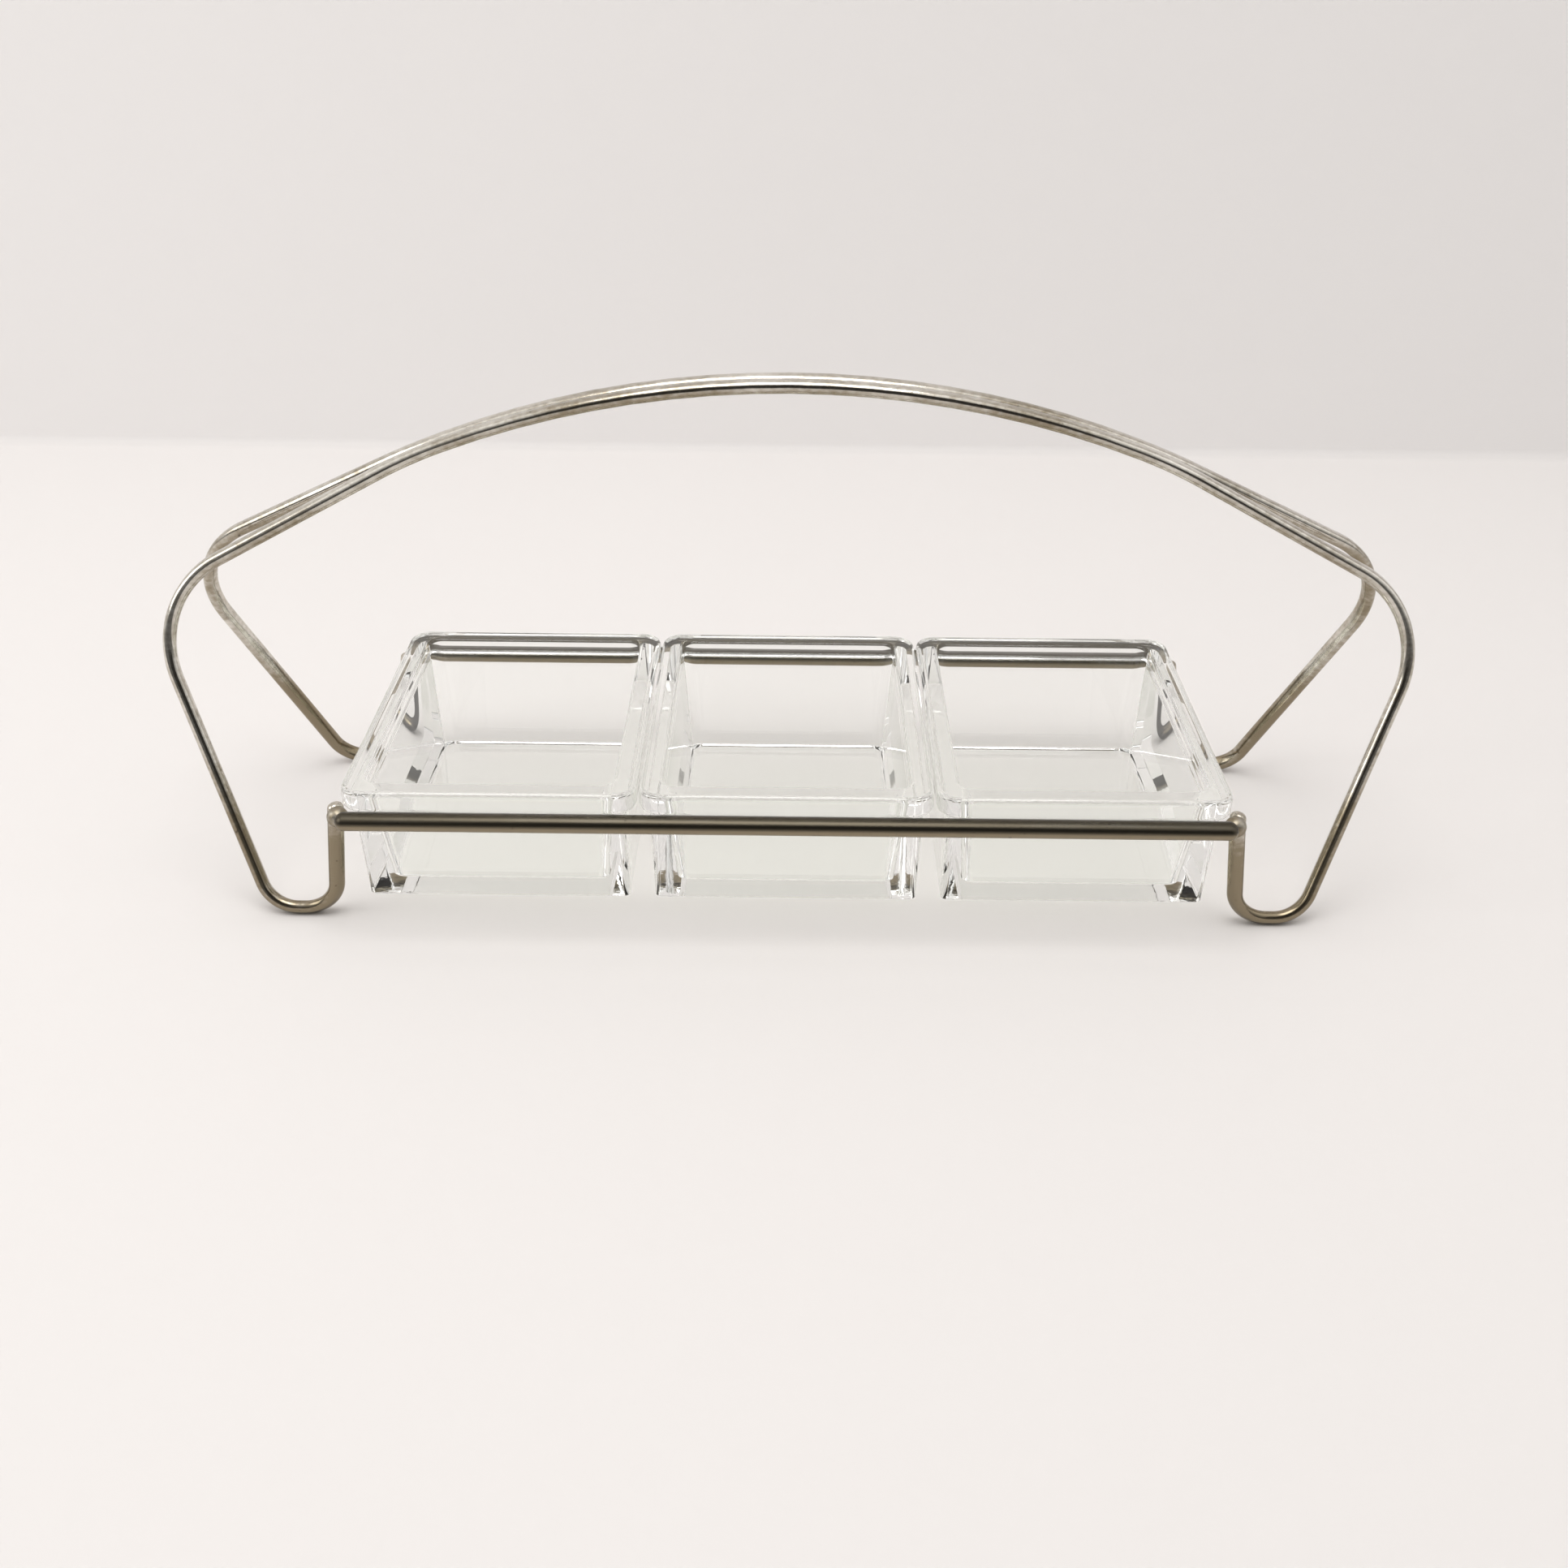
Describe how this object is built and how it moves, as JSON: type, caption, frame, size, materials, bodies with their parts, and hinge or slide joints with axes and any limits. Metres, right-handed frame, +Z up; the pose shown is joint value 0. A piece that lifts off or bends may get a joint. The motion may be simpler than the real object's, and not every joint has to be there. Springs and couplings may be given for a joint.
{
  "type": "chip and dip server",
  "caption": "Arched wire rack with looped feet and a joined twin-wire handle, holding a row of lift-out clear glass dishes by their rims.",
  "frame": {"origin": "centre of the rack on the table plane", "axes": "+Z up, +X along the handle and the row of dishes, +Y to the rear"},
  "size_m": [0.392, 0.123, 0.163],
  "materials": {
    "rack_metal": "polished silver-coloured metal with light tarnish",
    "solder": "satin solder",
    "dish_glass": "clear pressed glass"
  },
  "bodies": {
    "rack": {"front_rail": "rack_metal", "rear_rail": "rack_metal", "front_wire": "rack_metal", "rear_wire": "rack_metal", "corner_solder": "solder", "handle_solder": "solder"},
    "dish_left": {"dish_left": "dish_glass"},
    "dish_middle": {"dish_middle": "dish_glass"},
    "dish_right": {"dish_right": "dish_glass"}
  },
  "joints": [
    {"name": "lift_left", "type": "slide", "parent": "rack", "child": "dish_left", "axis": [0, 0, 1], "range_m": [0, 0.055]},
    {"name": "lift_middle", "type": "slide", "parent": "rack", "child": "dish_middle", "axis": [0, 0, 1], "range_m": [0, 0.055]},
    {"name": "lift_right", "type": "slide", "parent": "rack", "child": "dish_right", "axis": [0, 0, 1], "range_m": [0, 0.055]}
  ]
}
